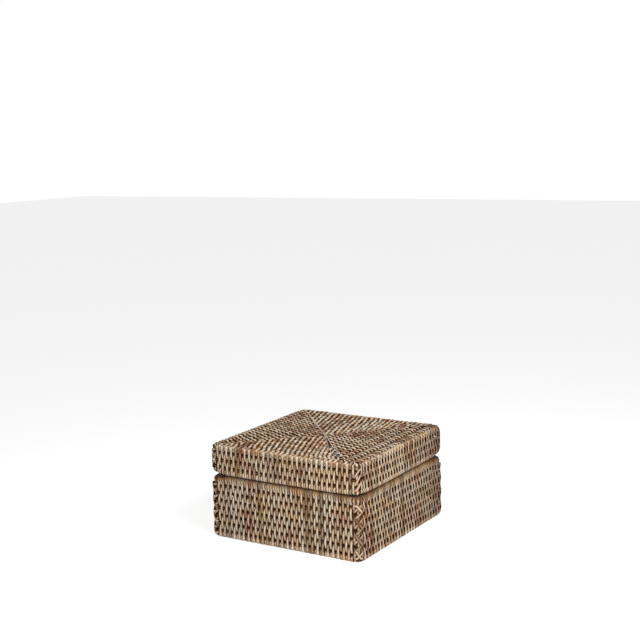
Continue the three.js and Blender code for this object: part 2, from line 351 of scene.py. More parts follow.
class Growth(Graph):
    """A Geometry Nodes tree with named inputs, which grows one piece from a guide."""

    def __init__(self, name):
        super().__init__(bpy.data.node_groups.new(name, "GeometryNodeTree"))
        self.tree.interface.new_socket("Geometry", in_out="INPUT", socket_type="NodeSocketGeometry")
        self.tree.interface.new_socket("Geometry", in_out="OUTPUT", socket_type="NodeSocketGeometry")
        self.entry = self.tree.nodes.new("NodeGroupInput")
        self.guide = Wire(self, self.entry.outputs["Geometry"])

    def input(self, name, kind="Float"):
        self.tree.interface.new_socket(name, in_out="INPUT", socket_type=f"NodeSocket{kind}")
        return Wire(self, self.entry.outputs[name])

    def strand_inputs(self):
        """What every strand or stitch has: width, thickness, the turn of its piece, a seed and a material."""
        numbers = [self.input(name) for name in ("Strand Width", "Strand Thickness", "Turn", "Seed")]
        return *numbers, self.input("Material", "Material")

    def position(self):
        return self.node("GeometryNodeInputPosition")

    def chance(self, index, seed, draw):
        """A random number from 0 to 1 for each strand."""
        place = index * 0.731 + seed * 7.13 + draw * 31.7
        return self.node("ShaderNodeTexWhiteNoise", {"noise_dimensions": "1D"}, {"W": place})

    def stray(self, index, seed, draw, amount):
        """A random amount round zero for each strand."""
        return (self.chance(index, seed, draw) - 0.5) * amount

    def noise(self, place, span, seed=0.0):
        """Smooth noise round zero, as a vector, that changes over a span."""
        settings = {"noise_dimensions": "4D"}
        sockets = {"Vector": place, "W": seed, "Scale": 1 / span, "Detail": 1.0}
        return self.node("ShaderNodeTexNoise", settings, sockets, "Color") - (0.5, 0.5, 0.5)

    def read(self, name, kind="FLOAT"):
        return self.node("GeometryNodeInputNamedAttribute", {"data_type": kind}, {"Name": name})

    def store(self, geometry, name, value, kind="FLOAT"):
        settings = {"data_type": kind, "domain": "POINT"}
        sockets = {0: geometry, "Name": name, "Value": value}
        return self.node("GeometryNodeStoreNamedAttribute", settings, sockets)

    def shift(self, geometry, offset):
        return self.node("GeometryNodeSetPosition", None, {0: geometry, "Offset": offset})

    def place(self, geometry, position):
        return self.node("GeometryNodeSetPosition", None, {0: geometry, "Position": position})

    def turn(self, geometry, angle):
        """Turns the geometry about the box's upright axis."""
        return self.node("GeometryNodeTransform", None, {0: geometry, "Rotation": self.vector(z=angle)})

    def strands(self, count, seed):
        """Smooth copies of the guide, each with its own tone, and the number of each."""
        curve = self.node("GeometryNodeMeshToCurve", None, {0: self.guide})
        curve = self.node("GeometryNodeCurveSplineType", {"spline_type": "CATMULL_ROM"}, {0: curve})
        curve = self.node("GeometryNodeSetSplineResolution", None, {0: curve, "Resolution": CURVE_STEPS})
        copied = self.node("GeometryNodeDuplicateElements", {"domain": "SPLINE"}, {0: curve, "Amount": count})
        index = copied.other("Duplicate Index")
        return self.store(copied, "tone", self.chance(index, seed, 2)), index

    def interlace(self, curve, index):
        """Marks odd strands as raised where even ones are low, and gives the sway that takes each of them
        there from the middle line."""
        opposite = 1 - 2 * self.maths("FLOORED_MODULO", index, 2.0)
        curve = self.store(curve, "lift", self.read("lift") + self.read("lift_sway") * opposite)
        return curve, self.read("sway", "FLOAT_VECTOR") * opposite

    def steps(self, curve, length):
        return self.node("GeometryNodeResampleCurve", {"mode": "LENGTH"}, {0: curve, "Length": length})

    def settle(self, geometry):
        """The slow drift of hand work, the same for all pieces, which fades out towards the ground; the
        way in which rims and panels give at the upright corners; and the lid's rods that lie askew."""
        rim_height = self.input("Rim Height")
        rim_sag = self.input("Rim Sag")
        self.panel_height = self.input("Panel Height")
        panel_sag = self.input("Panel Sag")
        skew = self.input("Panel Skew")
        place = self.position()
        x, y, height = self.split(place)
        from_side, from_front = self.maths("ABSOLUTE", x), self.maths("ABSOLUTE", y)

        corner = self.ease(self.maths("MINIMUM", from_side, from_front), *SAG_ZONE)
        near_rim = self.ease(self.maths("ABSOLUTE", height - rim_height), SAG_DEPTH, 0.0)
        near_panel = self.ease(self.maths("ABSOLUTE", height - self.panel_height), SAG_DEPTH, 0.0)
        side_corner = self.ease(x * y, 0.0, SIDE_CORNER)
        rim_share = NEAR_CORNER_SHARE + side_corner * (1 - NEAR_CORNER_SHARE)
        sag = corner * (near_rim * rim_sag * rim_share + near_panel * panel_sag)

        outer = self.maths("MAXIMUM", from_side, from_front) + 0.01 * MM
        middle = self.ease(outer, *MIDDLE_FADING) * SKEWED_MIDDLE
        ring = self.ease(outer, *SKEW_GROWTH) * self.ease(outer, *SKEW_FADING)
        to_left = middle + ring * self.ease(-x / outer, *SKEWED_SIDE)
        to_back = middle + ring * self.ease(-y / outer, *SKEWED_SIDE)
        askew = self.vector(-to_left, to_back) * skew

        free = self.node("ShaderNodeClamp", None, {0: height / GROUND})
        drift = self.noise(place, DRIFT_SPAN) * DRIFT * free
        return self.shift(geometry, drift + askew + self.vector(z=sag))

    def round_corner(self, along, out, axis, bend):
        """Takes a distance along the hoops, from the corner's middle, and one out from the corner's axis to
        x and y, and to the direction in which the corner faces there."""
        half = QUARTER / 2
        bent = self.node("ShaderNodeClamp", None, {0: along / bend, 1: -half, 2: half})
        straight = along - bent * bend
        angle = bent + half
        cosine = self.maths("COSINE", angle)
        sine = self.maths("SINE", angle)
        return axis + out * cosine - straight * sine, axis + out * sine + straight * cosine, angle

    def beside(self, angle):
        """The level direction that lies to the left of a heading."""
        return self.vector(-self.maths("SINE", angle), self.maths("COSINE", angle))

    def circle(self, sides, radius):
        sockets = {"Resolution": sides, "Radius": radius}
        return self.node("GeometryNodeCurvePrimitiveCircle", {"mode": "RADIUS"}, sockets)

    def strand_section(self, width, thickness):
        """The section of a split strand: flat faces and rounded edges."""
        x, y, _ = self.split(self.position())
        marked = self.store(self.circle(STRAND_SECTION_SIDES, 1.0), "across", x)
        marked = self.store(marked, "face", y * self.input("Facing"))
        flattened = self.maths("SIGN", x) * self.maths("POWER", self.maths("ABSOLUTE", x), 0.85)
        return self.place(marked, self.vector(flattened * width * 0.5, y * thickness * 0.5))

    def own_width(self, index, seed, spread):
        return 1 + self.stray(index, seed, 3, spread)

    def breadth(self, index, seed, worn_spread=0.0):
        """A strand's own breadth. It spreads a little where it is pressed behind a rod, and is worn flat
        and wide where it lies on top of one in the panel."""
        lift = self.read("lift")
        _, _, height = self.split(self.position())
        from_panel = self.maths("ABSOLUTE", height - self.panel_height)
        worn = self.ease(from_panel, *WORN_REACH) * self.ease(lift, *WORN_LIFTS) * worn_spread
        pressed = self.ease(lift, *PRESSED_LIFTS) * PRESSED_SPREAD
        return self.own_width(index, seed, WIDTH_SPREAD) * (1 + pressed + worn)

    def sweep(self, curve, section, width_direction, scale, material):
        """Sweeps a section along every curve, with its width in the given direction."""
        length = self.node("GeometryNodeSplineParameter", output="Length")
        curve = self.store(curve, "along", length)
        sockets = {0: curve, "Normal": width_direction}
        curve = self.node("GeometryNodeSetCurveNormal", {"mode": "FREE"}, sockets)
        sockets = {"Curve": curve, "Profile Curve": section, "Scale": scale, "Fill Caps": True}
        self.finish(self.node("GeometryNodeCurveToMesh", None, sockets), material)

    def finish(self, mesh, material):
        real = self.node("GeometryNodeRealizeInstances", None, {0: mesh})
        smooth = self.node("GeometryNodeSetShadeSmooth", None, {0: real})
        done = self.node("GeometryNodeSetMaterial", None, {0: smooth, "Material": material})
        exit_node = self.tree.nodes.new("NodeGroupOutput")
        self.feed(exit_node.inputs["Geometry"], done)


def grow(name, growth, guide, values, body, nodes):
    """Grows a piece as a plain mesh and puts it on its body in place of its CAD nodes."""
    piece = bpy.data.objects.new(name, guide)
    bpy.context.scene.collection.objects.link(piece)
    modifier = piece.modifiers.new("growth", "NODES")
    modifier.node_group = growth.tree
    sockets = growth.tree.interface.items_tree
    inputs = {item.name: item.identifier for item in sockets if item.in_out == "INPUT"}
    for label, value in values.items():
        modifier[inputs[label]] = value
    depsgraph = bpy.context.evaluated_depsgraph_get()
    grown = piece.evaluated_get(depsgraph)
    mesh = bpy.data.meshes.new_from_object(grown, preserve_all_data_layers=True, depsgraph=depsgraph)
    piece.modifiers.clear()
    piece.data = mesh
    mesh.name = name
    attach(piece, body)
    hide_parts(*nodes)
    return piece


def stock(width, thickness, facing, turn, seed, material):
    """The values that every strand and every stitch takes."""
    return {
        "Strand Width": width,
        "Strand Thickness": thickness,
        "Facing": facing,
        "Turn": turn,
        "Seed": seed,
        "Material": material,
    }


def guide_mesh(name, points, **attributes):
    """A line of points for a tree to follow. Each attribute has a value for every point."""
    mesh = bpy.data.meshes.new(name)
    mesh.from_pydata(points, [(i, i + 1) for i in range(len(points) - 1)], [])
    for label, values in attributes.items():
        is_vector = isinstance(values[0], tuple)
        layer = mesh.attributes.new(label, "FLOAT_VECTOR" if is_vector else "FLOAT", "POINT")
        for item, value in zip(layer.data, values):
            if is_vector:
                item.vector = value
            else:
                item.value = value
    return mesh


def woven_side_growth():
    """Strands side by side along one side of a tray, each even one opposite to its odd neighbours."""
    g = Growth("woven_side")
    count = g.input("Strand Count", "Int")
    pitch = g.input("Strand Pitch")
    gap = g.input("Mitre Gap")
    end_gap = g.input("End Gap")
    worn_spread = g.input("Worn Spread")
    width, thickness, turn, seed, material = g.strand_inputs()

    curve, index = g.strands(count, seed)
    curve, sway = g.interlace(curve, index)
    along_side = (index - (count - 1) * 0.5) * pitch + g.stray(index, seed, 1, STRAY)
    depth = TIGHTEST + g.chance(index, seed, 5) * SLACK
    curve = g.shift(curve, sway * depth + g.vector(y=along_side))
    curve = g.steps(curve, STRAND_STEP)

    out, side, _ = g.split(g.position())
    from_middle = g.maths("ABSOLUTE", side)
    wider = g.ease(side, *END_GAP_OPENS) * g.ease(side, *END_GAP_CLOSES) * end_gap
    wider = wider - g.ease(from_middle, *MIDDLE_ZONE) * MIDDLE_OVERLAP
    beyond_mitre = g.maths("LESS_THAN", out - gap - wider, from_middle)
    beyond_mitre = g.maths("MULTIPLY", beyond_mitre, g.maths("LESS_THAN", out, PANEL_REACH))
    sockets = {0: curve, "Selection": beyond_mitre}
    curve = g.node("GeometryNodeDeleteGeometry", {"domain": "POINT"}, sockets)

    out_wander, wander, up_wander = g.split(g.noise(g.position(), WANDER_SPAN, seed))
    off = g.vector(out_wander * 0.5, wander, up_wander * 0.5) * WANDER
    curve = g.settle(g.turn(g.shift(curve, off), turn))
    section = g.strand_section(width, thickness)
    g.sweep(curve, section, g.beside(turn), g.breadth(index, seed, worn_spread), material)
    return g


def corner_fan_growth():
    """Strands side by side round an upright corner, each in its own upright plane."""
    g = Growth("corner_fan")
    count = g.input("Strand Count", "Int")
    axis = g.input("Corner Axis")
    bend = g.input("Hoop Bend")
    run = g.input("Straight Run")
    width, thickness, turn, seed, material = g.strand_inputs()

    curve, index = g.strands(count, seed)
    curve, sway = g.interlace(curve, index)
    curve = g.steps(g.shift(curve, sway), STRAND_STEP)
    share = (index + 0.5 + g.stray(index, seed, 1, FAN_STRAY)) / count * 2 - 1
    out, _, height = g.split(g.position())
    x, y, angle = g.round_corner(share * (run + bend * (QUARTER / 2)), out, axis, bend)
    curve = g.settle(g.turn(g.place(curve, g.vector(x, y, height)), turn))
    section = g.strand_section(width, thickness)
    g.sweep(curve, section, g.beside(angle + turn), g.breadth(index, seed), material)
    return g


def corner_stitch_growth():
    """Stitches over the hoops of an upright corner, one above the other. The guide is one stitch laid
    flat: x along the corner's hoops, y outwards from their middle, z up."""
    g = Growth("corner_stitches")
    count = g.input("Stitch Count", "Int")
    pitch = g.input("Stitch Pitch")
    first = g.input("First Height")
    lowest = g.input("Lowest Height")
    highest = g.input("Highest Height")
    axis = g.input("Corner Axis")
    bend = g.input("Hoop Bend")
    width, thickness, turn, seed, material = g.strand_inputs()

    curve, index = g.strands(count, seed)
    curve = g.steps(curve, STITCH_STEP)
    along, outwards, height = g.split(g.position())
    along = along * (1 + g.stray(index, seed, 4, STITCH_REACH_STRAY))
    x, y, _ = g.round_corner(along, bend + outwards, axis, bend)
    level = first + index * pitch + height + g.stray(index, seed, 1, STITCH_HEIGHT_STRAY)
    level = g.node("ShaderNodeClamp", None, {0: level, 1: lowest, 2: highest})
    curve = g.settle(g.turn(g.place(curve, g.vector(x, y, level)), turn))

    tangent = g.node("GeometryNodeInputTangent")
    across = g.maths("CROSS_PRODUCT", tangent, (0.0, 0.0, 1.0))
    upwards = g.maths("NORMALIZE", g.maths("CROSS_PRODUCT", across, tangent))
    section = g.strand_section(width, thickness)
    g.sweep(curve, section, upwards, g.own_width(index, seed, STITCH_SPREAD), material)
    return g


def diagonal_growth():
    """Strands side by side along a diagonal of a panel. The guide runs along x."""
    g = Growth("diagonal_strands")
    count = g.input("Strand Count", "Int")
    pitch = g.input("Strand Pitch")
    width, thickness, turn, seed, material = g.strand_inputs()

    curve, index = g.strands(count, seed)
    aside = (index - (count - 1) * 0.5) * pitch + index * g.read("parting")
    curve = g.steps(g.shift(curve, g.vector(y=aside)), STRAND_STEP)
    _, wander, rise = g.split(g.noise(g.position(), 2 * WANDER_SPAN, seed))
    curve = g.shift(curve, g.vector(y=wander * WANDER * DIAGONAL_WANDER, z=rise * WANDER))
    curve = g.settle(g.turn(curve, turn))
    section = g.strand_section(width, thickness)
    g.sweep(curve, section, g.beside(turn), g.own_width(index, seed, WIDTH_SPREAD), material)
    return g


def tack_growth():
    """Small crossed stitches in a row along a diagonal. The guide is one stitch across the diagonal."""
    g = Growth("diagonal_tacks")
    count = g.input("Stitch Count", "Int")
    pitch = g.input("Stitch Pitch")
    first = g.input("First Distance")
    offset = g.input("Offset Step")
    lean = g.input("Lean")
    width, thickness, turn, seed, material = g.strand_inputs()

    curve, index = g.strands(count, seed)
    curve = g.steps(curve, STITCH_STEP)
    x, y, z = g.split(g.position())
    askew = lean + g.stray(index, seed, 1, TACK_STRAY)
    curve = g.place(curve, g.vector(first + index * pitch + y * askew, y - (index + 1) * offset, z))
    curve = g.settle(g.turn(curve, turn))
    tangent = g.node("GeometryNodeInputTangent")
    across = g.maths("NORMALIZE", g.maths("CROSS_PRODUCT", tangent, (0.0, 0.0, 1.0)))
    section = g.strand_section(width, thickness)
    g.sweep(curve, section, across, g.own_width(index, seed, STITCH_SPREAD), material)
    return g


def square_rod_growth():
    """A round rod bent into a level square."""
    g = Growth("square_rod")
    half = g.input("Half Side")
    bend = g.input("Bend Radius")
    radius = g.input("Rod Radius")
    height = g.input("Height")
    material = g.input("Material", "Material")

    sides = {"Width": half * 2, "Height": half * 2}
    square = g.node("GeometryNodeCurvePrimitiveQuadrilateral", None, sides)
    sockets = {0: square, "Count": CURVE_STEPS, "Radius": bend}
    rounded = g.node("GeometryNodeFilletCurve", {"mode": "POLY"}, sockets)
    curve = g.settle(g.steps(g.shift(rounded, g.vector(z=height)), ROD_STEP))
    x, _, _ = g.split(g.position())
    section = g.store(g.circle(ROD_SECTION_SIDES, radius), "across", x / radius)
    g.sweep(curve, section, (0.0, 0.0, 1.0), 1.0, material)
    return g


def rod_line(node, sides):
    """Where a square rod of the frame lies: its distance out from the middle, its height and its radius."""
    low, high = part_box(node)
    radius = (high.z - low.z) / 2
    return high.x - radius * math.cos(math.pi / sides), (low.z + high.z) / 2, radius


class Tray:
    """The base or the lid: where its rods lie, as distance out and height over its panel's outer face."""

    def __init__(self, body, panel, edge, pole, hoop_count, rod_count):
        self.body = body
        self.panel = panel
        woven_low, woven_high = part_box(f"{body}_weave_front")
        self.corner_axis = woven_high.x
        self.upside_down = body == "lid"
        self.strand_count = LID_STRANDS if self.upside_down else BASE_STRANDS
        self.stitches = LID_STITCHES if self.upside_down else BASE_STITCHES
        self.face = woven_high.z if self.upside_down else woven_low.z
        self.rods = [self.line(f"{panel}_rod_{i + 1}") for i in range(rod_count)]
        self.hoops = [self.line(f"{body}_hoop_{i + 1}") for i in range(hoop_count)]
        self.edge = self.line(edge, POLE_SIDES)
        self.pole = self.line(pole, POLE_SIDES)
        self.named_rings = {edge: self.edge, pole: self.pole}
        self.bend_axis = self.hoops[0][0] - CORNER_BEND
        self.facing = 1.0 if self.upside_down else -1.0
        self.settling = {
            "Rim Height": self.height(self.pole[1]),
            "Rim Sag": LID_RIM_SAG if self.upside_down else BASE_RIM_SAG,
            "Panel Height": self.face,
            "Panel Sag": LID_PANEL_SAG if self.upside_down else BASE_PANEL_SAG,
            "Panel Skew": LID_SKEW if self.upside_down else 0.0,
        }

    def line(self, node, sides=ROD_SIDES):
        out, height, radius = rod_line(node, sides)
        return out, self.up(height), radius

    def up(self, height):
        return self.face - height if self.upside_down else height - self.face

    def height(self, up):
        return self.face - up if self.upside_down else self.face + up

    def grow(self, name, growth, guide, values, slot, node):
        """Grows a piece of this tray in place of one CAD node."""
        grow(name, growth, guide, values | self.settling, self.body, [node])


def round_point(centre, radius, degrees):
    angle = math.radians(degrees)
    return centre[0] + radius * math.cos(angle), centre[1] + radius * math.sin(angle)


def side_routes(tray):
    """The routes of even and of odd strands through a tray, as lists of (out, up, lift). Lift is 1 where
    a strand lies over a rod, and -1 where it lies under one, shifted by stain and painted shade."""
    clear = tray.rods[0][2] + STRAND_THICKNESS / 2
    even, odd = [], []

    def both(out, up, lift):
        even.append((out, up, lift))
        odd.append((out, up, lift))

    def pass_rod(rod, crossing, is_upright):
        """Takes even strands over the rod and odd ones under it, or the other way round."""
        for along, over, under in WALL_PASSING if is_upright else PANEL_PASSING:
            is_above = (along > 0) != tray.upside_down or along == 0
            stain_and_shade = (STAIN_AND_SHADE_ABOVE if is_above else STAIN_AND_SHADE_BELOW) if is_upright else STAIN_AND_SHADE_PANEL
            lifts = (over, under) if crossing > 0 else (under, over)
            for route, lift in zip((even, odd), lifts):
                # Shade is the lift shifted for stain and painted shade: darker above a hoop, under the
                # overhang of the strand that dives there, and in the panel's hollows.
                shade = lift + stain_and_shade * (1 - lift)
                if is_upright:
                    route.append((rod[0] + lift * clear, rod[1] + along * clear, shade))
                else:
                    route.append((rod[0] + along * clear, rod[1] - lift * clear, shade))

    def turn_round(rod, around, degrees, share):
        """Takes all strands round an edge. Share is how far along its turn a strand that comes from
        under a rod has risen, while its neighbours sink towards the next one."""
        for route, rising in ((even, share), (odd, 1 - share)):
            point = round_point(rod, around - EDGE_SINK * (1 - rising), degrees)
            route.append((*point, EDGE_LIFT + (1 - EDGE_LIFT) * rising))

    first = tray.rods[0]
    for start in (-PAST_MIDDLE, first[0] - BEFORE_FIRST_ROD):
        both(start, first[1] - PANEL_BETWEEN * clear, PANEL_BETWEEN)
    crossing = 1
    for number, here in enumerate(tray.rods):
        pass_rod(here, crossing, False)
        crossing = -crossing
        if number + 1 < len(tray.rods):
            between = PANEL_BETWEEN - PANEL_HOLLOWS[number % len(PANEL_HOLLOWS)]
            middle = (here[0] + tray.rods[number + 1][0]) / 2
            # The hollow between two rods: the lower it lies, the more painted shade and stain it gets.
            both(middle, here[1] - between * clear, between + STAIN_AND_SHADE_PANEL)
    around = tray.edge[2] + STRAND_THICKNESS / 2
    room = TURN_ROOM * clear
    for degrees in EDGE_DEGREES:
        point = round_point(tray.edge, around, degrees)
        share = (degrees - EDGE_DEGREES[0]) / (EDGE_DEGREES[-1] - EDGE_DEGREES[0])
        if point[0] > tray.rods[-1][0] + room and point[1] < tray.hoops[0][1] - room:
            turn_round(tray.edge, around, degrees, share)
    for here, following in zip(tray.hoops, tray.hoops[1:] + [None]):
        pass_rod(here, crossing, True)
        crossing = -crossing
        if following:
            both(here[0] + WALL_BETWEEN * clear, (here[1] + following[1]) / 2, WALL_BETWEEN)

    around = tray.pole[2] + STRAND_THICKNESS / 2
    for degrees, lift in zip(RIM_DEGREES, LID_RIM_LIFTS if tray.upside_down else BASE_RIM_LIFTS):
        point = round_point(tray.pole, around, degrees)
        if degrees > 0 or point[1] > tray.hoops[-1][1] + room:
            both(*point, lift)
    tail = round_point(tray.pole, around, TAIL_DEGREES)
    both(tail[0] + TAIL_LEAN, tail[1] - RIM_TAIL, TAIL_LIFT)
    return even, odd


def route_guide(name, tray, even, odd, inwards=0.0):
    """The mean of the even and odd routes, with half their difference as the sway."""
    points, sways, lifts, lift_sways = [], [], [], []
    for a, b in zip(even, odd):
        points.append(((a[0] + b[0]) / 2 - inwards, 0.0, tray.height((a[1] + b[1]) / 2)))
        sways.append(((a[0] - b[0]) / 2, 0.0, (tray.height(a[1]) - tray.height(b[1])) / 2))
        lifts.append((a[2] + b[2]) / 2)
        lift_sways.append((a[2] - b[2]) / 2)
    return guide_mesh(name, points, sway=sways, lift=lifts, lift_sway=lift_sways)


def weave_side(tray, growth, side, turn, seed, material):
    values = {
        "Strand Count": tray.strand_count,
        "Strand Pitch": 2 * tray.corner_axis / tray.strand_count,
        "Mitre Gap": MITRE_GAP,
        "End Gap": PARTING if tray.upside_down and side == "left" else 0.0,
        "Worn Spread": WORN_SPREAD[side],
    } | stock(STRAND_WIDTH, STRAND_THICKNESS, tray.facing, turn, seed, material)
    node = f"{tray.body}_weave_{side}"
    guide = route_guide("side", tray, *side_routes(tray))
    tray.grow(f"{node}_strands", growth, guide, values, "woven_strands", node)


def corner_guide(tray):
    """The part of the routes that a corner's short strands follow: from the panel's edge, down the wall
    and round the rim pole, without their tails. They lie a little deeper than those beside them, under
    the stitches."""
    even, odd = side_routes(tray)
    first = next(i for i, point in enumerate(even) if point[0] > tray.bend_axis + 0.5 * MM)
    return route_guide("corner", tray, even[first:-3], odd[first:-3], tray.bend_axis + CORNER_DEPTH)


def stitch_guide(lean, reach, clear, half_height, proud):
    """One stitch: in front of a hoop from high to low, and in behind its neighbours at both ends."""
    half = [(0.0, 1.0, 0.0), (0.4, 1.0, 0.39), (0.8, 0.95, 0.79), (1.04, 0.4, 0.97), (1.06, -0.4, 1.0)]
    half += [(0.85, -1.0, 0.97), (0.5, -1.05, 0.94)]
    route = [(-along, outwards, up) for along, outwards, up in reversed(half)]
    route += [(along, outwards, -up) for along, outwards, up in half[1:]]
    points = []
    for along, outwards, up in route:
        lying_on = proud * min(max(outwards, 0.0), 1.0)
        points.append((along * lean * reach, outwards * clear + lying_on, up * half_height))
    return points


def lace_corner(tray, growths, corner, turn, seed, materials):
    """All the strands of one upright corner: those that fill it, and the rows of stitches."""
    fan, stitches = growths
    node = f"{tray.body}_corner_lacing_{corner}"
    width = OPEN_FAN_WIDTH if FAN_STRANDS[corner] == 2 else STRAND_WIDTH
    bends = {"Corner Axis": tray.bend_axis, "Hoop Bend": CORNER_BEND}
    values = bends | {
        "Strand Count": FAN_STRANDS[corner],
        "Straight Run": tray.bend_axis - tray.corner_axis,
    } | stock(width, STRAND_THICKNESS, tray.facing, turn, seed, materials[0])
    tray.grow(f"{node}_strands", fan, corner_guide(tray), values, "lacing_strands", node)

    pitch = abs(tray.hoops[1][1] - tray.hoops[0][1])
    first = min(tray.height(hoop[1]) for hoop in tray.hoops)
    clear = tray.hoops[0][2] + STITCH_THICKNESS / 2 + STITCH_ROOM
    limits = [tray.height(tray.hoops[0][1] - HOLD_OFF), tray.height(tray.hoops[-1][1] + HOLD_OFF)]
    for label, (lean, every, half_height, reach, width, proud) in tray.stitches.items():
        points = stitch_guide(lean, reach, clear, half_height * pitch, proud)
        guide = guide_mesh(f"{label}_stitch", points, lift=[1.0] * len(points))
        values = bends | {
            "Stitch Count": math.ceil(len(tray.hoops) / every),
            "Stitch Pitch": pitch * every,
            "First Height": first,
            "Lowest Height": min(limits),
            "Highest Height": max(limits),
        } | stock(width, STITCH_THICKNESS, lean, turn, seed + lean, materials[1])
        tray.grow(f"{node}_{label}_stitches", stitches, guide, values, "lacing_strands", node)


def diagonal_line(tray):
    """The level of the strands along a panel's diagonals, and where they cross its rods."""
    over = tray.rods[0][1] - tray.rods[0][2] - STRAND_THICKNESS - DIAGONAL_ROOM
    return over, sorted(sign * rod[0] * math.sqrt(2) for rod in tray.rods for sign in (-1, 1))


def lay_diagonals(tray, growth, materials):
    """The strands over a panel's mitres."""
    end = tray.corner_axis * math.sqrt(2) + DIAGONAL_END
    over, crossings = diagonal_line(tray)
    closes, slope = PARTING_CLOSES
    for number, turn in enumerate(DIAGONALS):
        route = [(-end, over + DIAGONAL_END_DIP)]
        for here, following in zip(crossings, crossings[1:] + [None]):
            route.append((here, over))
            if following is not None:
                route.append(((here + following) / 2, over + DIAGONAL_DIP))
        route.append((end, over + DIAGONAL_END_DIP))
        sink = number * DIAGONAL_THICKNESS * DIAGONAL_SINK
        parts = PARTING if tray.upside_down and number == 0 else 0.0
        shares = [min(max(-x / end, 0.0), PARTING_MOST, closes + slope * x / end) for x, _ in route]
        points = [(x, 0.0, tray.height(up + sink)) for x, up in route]
        partings = [parts * share for share in shares]
        guide = guide_mesh("diagonal", points, lift=[1.0] * len(route), parting=partings)
        values = {"Strand Count": DIAGONAL_STRANDS, "Strand Pitch": DIAGONAL_PITCH}
        values |= stock(
            DIAGONAL_WIDTH, DIAGONAL_THICKNESS, tray.facing, turn, 3.0 + number, materials[number]
        )
        name = f"{tray.panel}_diagonal_strands_{number + 1}"
        tray.grow(name, growth, guide, values, "lacing_strands", f"{tray.panel}_diagonal_lacing")


def tack_diagonal(tray, growth, material):
    """The small crossed stitches that hold the ends of the diagonal strands near one corner."""
    corner = CORNERS.index(TACKED_CORNER)
    over, crossings = diagonal_line(tray)
    pitch = (tray.rods[-1][0] - tray.rods[-2][0]) * math.sqrt(2)
    for label, lean in TACK_LEANS.items():
        top = over - TACK_THICKNESS - (TACK_PROUD if lean > 0 else 0.0)
        route = [(y, top + deep) for y, deep in TACK_HALF]
        route += [(-y, up) for y, up in reversed(route[:-1])]
        points = [(0.0, y * TACK_REACH, tray.height(up)) for y, up in route]
        values = {
            "Stitch Count": TACKS,
            "Stitch Pitch": pitch,
            "First Distance": crossings[-1] - TACKS * pitch,
            "Offset Step": PARTING * TACK_OFFSET / TACKS,
            "Lean": lean,
        }
        turn = QUARTER * (corner + 0.5)
        values |= stock(TACK_WIDTH, TACK_THICKNESS, -tray.facing, turn, corner + lean, material)
        name = f"{tray.panel}_tacks_{TACKED_CORNER}_{label}"
        guide = guide_mesh("tack", points, lift=[1.0] * len(points))
        tray.grow(name, growth, guide, values, "lacing_strands", f"{tray.panel}_diagonal_lacing")


def bend_rods(tray, growth, rod_material, panel_material, pole_material):
    """Every square rod, hoop and pole of a tray."""
    rings = {f"{tray.panel}_rod_{i + 1}": (rod, PANEL_ROD_BEND) for i, rod in enumerate(tray.rods)}
    rings |= {f"{tray.body}_hoop_{i + 1}": (hoop, CORNER_BEND) for i, hoop in enumerate(tray.hoops)}
    for node, ring in tray.named_rings.items():
        rings[node] = (ring, max(ring[0] - tray.bend_axis, ring[2] * POLE_BEND))
    for node, ((out, up, radius), bend_radius) in rings.items():
        is_pole = "pole" in node
        stained = panel_material if node.startswith(f"{tray.panel}_rod") else rod_material
        values = {
            "Half Side": out,
            "Bend Radius": bend_radius,
            "Rod Radius": radius,
            "Height": tray.height(up),
            "Material": pole_material if is_pole else stained,
        }
        slot = "poles" if is_pole else "round_rods"
        tray.grow(f"{node}_round", growth, empty_guide(), values, slot, node)


def empty_guide():
    return bpy.data.meshes.new("empty")


def weave_neck(growths, material, rod_material):
    """The neck: strands wrapped round its two hoops, and the hoops."""
    side_growth, fan_growth, rod_growth = growths
    lower = rod_line("neck_hoop_lower", ROD_SIDES)
    upper = rod_line("neck_hoop_upper", ROD_SIDES)
    around = lower[2] + NECK_STRAND_THICKNESS / 2
    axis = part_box("neck_band")[1].x - NECK_BEND
    turns = [(lower, degrees) for degrees in (200, 235, 270, 305, 340)]
    turns += [(upper, degrees) for degrees in (20, 55, 90, 125, 160)] + [(lower, 175)]
    route = [round_point(hoop, around, degrees) for hoop, degrees in turns]
    no_sag = dict.fromkeys(("Rim Height", "Rim Sag", "Panel Height", "Panel Sag", "Panel Skew"), 0.0)
    even = {
        "sway": [(0.0, 0.0, 0.0)] * len(route),
        "lift": [1.0] * len(route),
        "lift_sway": [0.0] * len(route),
    }
    for number, side in enumerate(SIDES):
        neck_stock = (NECK_STRAND_WIDTH, NECK_STRAND_THICKNESS, -1.0, number * QUARTER)
        guide = guide_mesh("neck", [(out, 0.0, z) for out, z in route], **even)
        values = no_sag | {
            "Strand Count": round(2 * axis / NECK_STRAND_PITCH),
            "Strand Pitch": NECK_STRAND_PITCH,
            "Mitre Gap": -1.0,
            "End Gap": 0.0,
            "Worn Spread": 0.0,
        } | stock(*neck_stock, 40.0 + number, material)
        name = f"neck_{side}_strands"
        grow(name, side_growth, guide, values, "base", ["neck_band"])
        guide = guide_mesh("neck_corner", [(out - axis, 0.0, z) for out, z in route], **even)
        values = no_sag | {
            "Strand Count": NECK_CORNER_STRANDS,
            "Corner Axis": axis,
            "Hoop Bend": NECK_BEND,
            "Straight Run": 0.0,
        } | stock(*neck_stock, 50.0 + number, material)
        name = f"neck_{CORNERS[number]}_strands"
        grow(name, fan_growth, guide, values, "base", ["neck_band"])
    for label, hoop in (("lower", lower), ("upper", upper)):
        node = f"neck_hoop_{label}"
        values = no_sag | {
            "Half Side": hoop[0],
            "Bend Radius": hoop[0] - axis,
            "Rod Radius": hoop[2],
            "Height": hoop[1],
            "Material": rod_material,
        }
        grow(f"{node}_round", rod_growth, empty_guide(), values, "base", [node])


